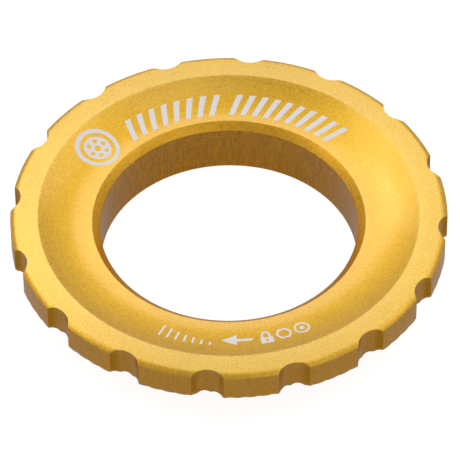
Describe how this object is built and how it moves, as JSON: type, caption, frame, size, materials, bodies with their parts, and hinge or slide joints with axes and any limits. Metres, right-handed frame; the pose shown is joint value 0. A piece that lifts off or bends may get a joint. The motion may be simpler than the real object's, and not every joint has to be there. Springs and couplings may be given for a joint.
{
  "type": "disc brake rotor lock ring",
  "caption": "Dished one-piece lock ring with a notched rim, a serrated seat and a threaded sleeve, which clamps a splined brake rotor onto a bicycle hub.",
  "frame": {"origin": "on the ring's axis, in the plane of the flange's serrated seat, which is the face that meets the rotor", "axes": "+Z along the ring's axis, from the threaded sleeve towards the dished face; +X through the middle of one spanner notch"},
  "size_m": [0.0438, 0.0438, 0.0072],
  "materials": {
    "gold_anodised": "satin bead-blasted, gold anodised, with pale etched marks in the dish"
  },
  "bodies": {
    "root": {"lock_ring": "gold_anodised"}
  },
  "joints": []
}
